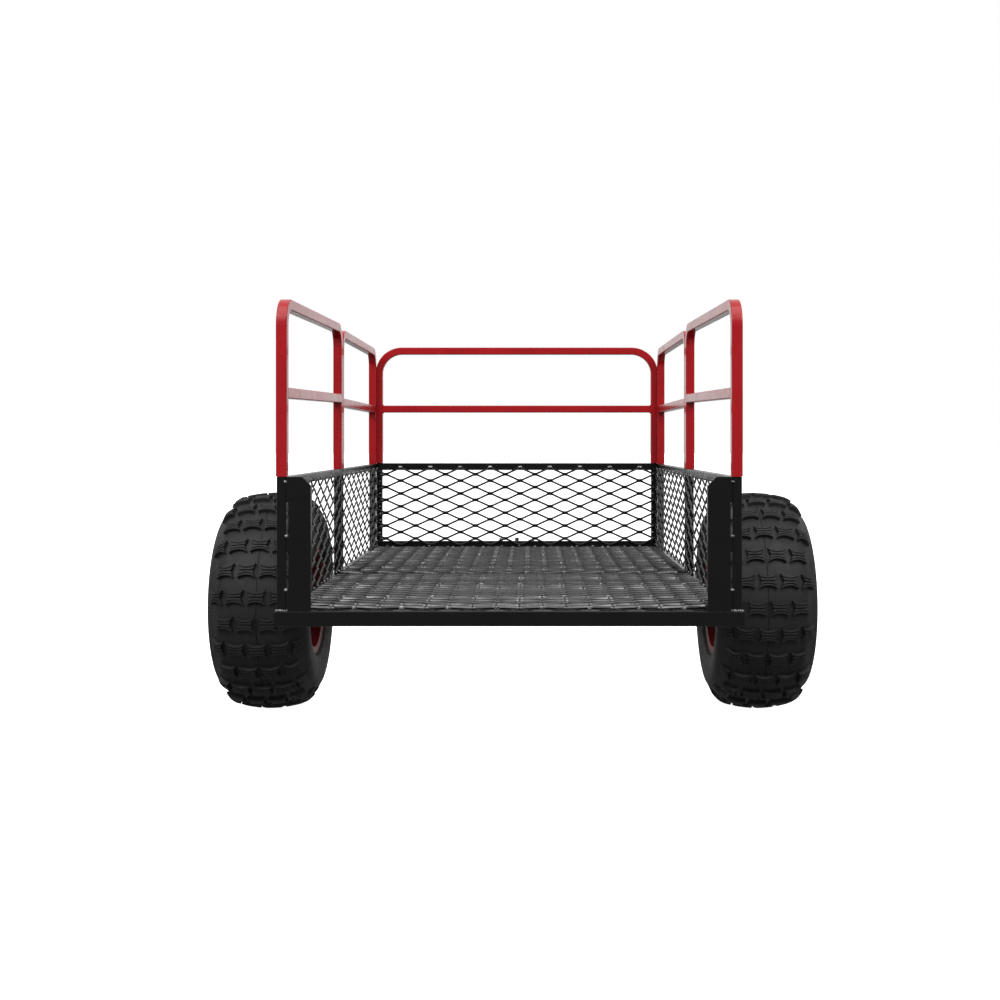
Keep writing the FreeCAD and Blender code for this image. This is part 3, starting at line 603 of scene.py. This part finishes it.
def offset_outline(outline, distance):
    """The closed outline moved outward by a distance, or inward if it is negative."""
    here = np.array(outline)
    before, after = np.roll(here, 1, axis=0), np.roll(here, -1, axis=0)
    total = np.zeros_like(here)
    for run in (here - before, after - here):
        run = run / np.linalg.norm(run, axis=1)[:, None]
        total += np.stack([run[:, 1], -run[:, 0]], axis=1)
    size = np.linalg.norm(total, axis=1)[:, None]
    return here + total / size * distance * np.minimum(2.0 / size, 1.6)


def add_block(build, block, profile, across, angle, flip, centre_x, side):
    """One block of a half lug, with a drafted foot and rounded top edges."""
    lower, upper, foot, top, rounding = block
    outline = list(lower) + list(reversed(upper))
    count, size = len(lower), len(outline)
    layers = [(0.5 * MM, foot), (0.0, top + 2 * rounding), (-0.3 * rounding, top + 0.6 * rounding)]
    layers += [(-rounding, top + 0.1 * rounding), (-1.9 * rounding, top)]
    points = []
    for offset, sink in layers:
        for a, c in offset_outline(outline, offset):
            x, r = profile.at(across + a, sink)
            points.append(around_axle(x, r, angle + flip * c / TYRE_RADIUS, centre_x, side))
    faces = loft_faces(len(layers), size, closed_ends=False)
    last = (len(layers) - 1) * size
    for i in range(count - 1):
        far = size - 1 - i
        faces.append((i, far, far - 1, i + 1))
        faces.append((last + i, last + i + 1, last + far - 1, last + far))
    if flip * side < 0:
        faces = [tuple(reversed(face)) for face in faces]
    build.add(points, faces)


def make_tyre(name, side, start, parity):
    """A knobby tyre; its rows of lugs begin at an angle in degrees above the rearmost point."""
    profile = TyreProfile()
    centre_x = side * WHEEL_X
    build = Builder()
    # Carcass: from one bead over the crown to the other, then back inside.
    limit = profile.arc[-1]
    stations = list(np.linspace(-limit, limit, 81))
    stations += [-LUG_SHIFT + d * MM for d in (-1.4, -0.8, 0.8, 1.4)]
    seam = 1.1 * MM
    ring = []
    for s in sorted(stations):
        in_seam = abs(s + LUG_SHIFT) < seam
        ring.append(profile.at(s, profile.sink(s) + SEAM_DEPTH * in_seam))
    bead_r = 101 * MM
    seat = [(85 * MM, bead_r + 12 * MM), (83 * MM, bead_r + 1 * MM), (70 * MM, bead_r - 0.2 * MM)]
    ring = [(-x, r) for x, r in reversed(seat)] + ring + seat
    inner = [(76, 118), (84, 140), (87, 158), (84, 176), (74, 192), (50, 204), (25, 208), (0, 209)]
    ring += [(x * MM, r * MM) for x, r in inner] + [(-x * MM, r * MM) for x, r in reversed(inner[:-1])]
    size, steps = len(ring), 208
    points = []
    for i in range(steps):
        points += [around_axle(x, r, 2 * math.pi * i / steps, centre_x, side) for x, r in ring]
    faces = []
    for i in range(steps):
        j = (i + 1) % steps
        for k in range(size):
            m = (k + 1) % size
            quad = (i * size + k, j * size + k, j * size + m, i * size + m)
            faces.append(quad if side > 0 else tuple(reversed(quad)))
    build.add(points, faces)
    blocks = lug_blocks()
    for row in range(LUG_ROWS):
        angle = math.radians(start - 90.0) + 2 * math.pi * row / LUG_ROWS
        columns = (-2, -1, 0, 1, 2) if row % 2 == parity else (-1.5, -0.5, 0.5, 1.5)
        for column in columns:
            for flip in (1, -1):
                for block in blocks:
                    across = column * LUG_PITCH - LUG_SHIFT
                    add_block(build, block, profile, across, angle, flip, centre_x, side)
    tyre = build.make("knobby_" + name, MATERIALS["tyre"], 32)
    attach(tyre, "wheel_" + name.split("_")[1])
    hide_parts(name)


# Stage, light and camera --------------------------------------------------------------------
def make_stage():
    """A plain pale floor that reaches far behind the object."""
    size = 60.0
    corners = [(-size, -size, 0), (size, -size, 0), (size, size, 0), (-size, size, 0)]
    floor_paint = Nodes("studio_floor")
    tone = floor_paint.ramp(floor_paint.noise(0.6, 2.0), [(0.3, 0.90), (0.7, 0.92)])
    rough = floor_paint.ramp(floor_paint.noise(2.0, 2.0), [(0.3, 0.7), (0.7, 0.8)])
    glow = {"Emission_Color": (1, 1, 1, 1), "Emission_Strength": 1.0}
    floor_paint.finish(tone, rough, Specular_IOR_Level=0.1, **glow)
    floor = make_object("studio_floor", corners, [(0, 1, 2, 3)], floor_paint.material)
    floor.visible_diffuse = False
    floor.visible_glossy = False


LIGHT_FROM_BELOW = 0.28


def make_world():
    """A white studio: bright above and ahead of the cart, dim behind the viewer and below."""
    world = bpy.data.worlds.new("studio")
    bpy.context.scene.world = world
    world.use_nodes = True
    tree = world.node_tree
    background = tree.nodes["Background"]
    place = tree.nodes.new("ShaderNodeTexCoord")
    split = tree.nodes.new("ShaderNodeSeparateXYZ")
    tree.links.new(place.outputs["Generated"], split.inputs[0])

    def spread(axis, low, high, dark, light):
        """A smooth step from dark to light between two values of a direction's component."""
        node = tree.nodes.new("ShaderNodeMapRange")
        node.interpolation_type = "SMOOTHSTEP"
        for key, value in zip(("From Min", "From Max", "To Min", "To Max"), (low, high, dark, light)):
            node.inputs[key].default_value = value
        tree.links.new(split.outputs[axis], node.inputs["Value"])
        return node.outputs["Result"]

    def combine(operation, first, second):
        node = tree.nodes.new("ShaderNodeMath")
        node.operation = operation
        tree.links.new(first, node.inputs[0])
        tree.links.new(second, node.inputs[1])
        return node.outputs[0]

    horizon = spread("Y", -0.35, 0.65, 0.07, 0.95)
    sky = spread("Z", 0.18, 0.75, 0.0, 1.0)
    above = combine("MAXIMUM", horizon, sky)
    upward = combine("MULTIPLY", above, spread("Z", -0.16, 0.02, 0.0, 1.0))
    light = tree.nodes.new("ShaderNodeMath")
    light.operation = "MAXIMUM"
    light.inputs[1].default_value = LIGHT_FROM_BELOW
    tree.links.new(upward, light.inputs[0])
    seen = tree.nodes.new("ShaderNodeLightPath")
    final = combine("MAXIMUM", light.outputs[0], seen.outputs["Is Camera Ray"])
    tree.links.new(final, background.inputs["Color"])
    background.inputs["Strength"].default_value = 1.0


def area_light(name, place, target, size, power):
    light = bpy.data.lights.new(name, "AREA")
    light.shape = "RECTANGLE"
    light.size, light.size_y = size
    light.energy = power
    obj = bpy.data.objects.new(name, light)
    obj.location = place
    obj.rotation_euler = (Vector(target) - Vector(place)).to_track_quat("-Z", "Y").to_euler()
    bpy.context.scene.collection.objects.link(obj)


def make_lights():
    target = (0.0, -0.5, 0.4)
    area_light("overhead_softbox", (0.0, -1.8, 3.6), (0.0, -0.4, 0.3), (3.6, 2.0), 45)
    area_light("left_softbox", (-2.6, -4.2, 3.9), target, (2.2, 2.0), 150)
    area_light("right_softbox", (2.6, -4.2, 3.9), target, (2.2, 2.0), 140)


def make_camera():
    """Level and square to the rear, slightly right of the centre line and above the bed's wall."""
    camera = bpy.data.cameras.new("camera")
    camera.sensor_width = 36.0
    camera.lens = 46.58
    camera.shift_x = -0.0293
    camera.shift_y = -0.058
    camera.clip_end = 200.0
    obj = bpy.data.objects.new("camera", camera)
    obj.location = (0.0327, REAR_Y - 2.117, 0.554)
    obj.rotation_euler = (math.radians(90), 0, 0)
    bpy.context.scene.collection.objects.link(obj)
    bpy.context.scene.camera = obj
    bpy.context.scene.view_settings.view_transform = "Standard"


dress_cad_nodes()
weld_build = make_floor()
make_front_wall(weld_build)
make_side_walls(weld_build)
make_frame_welds(weld_build)
make_rail_welds()
make_tyre("tyre_left", -1, 7.7, 0)
make_tyre("tyre_right", 1, 2.2, 1)
make_stage()
make_world()
make_lights()
make_camera()
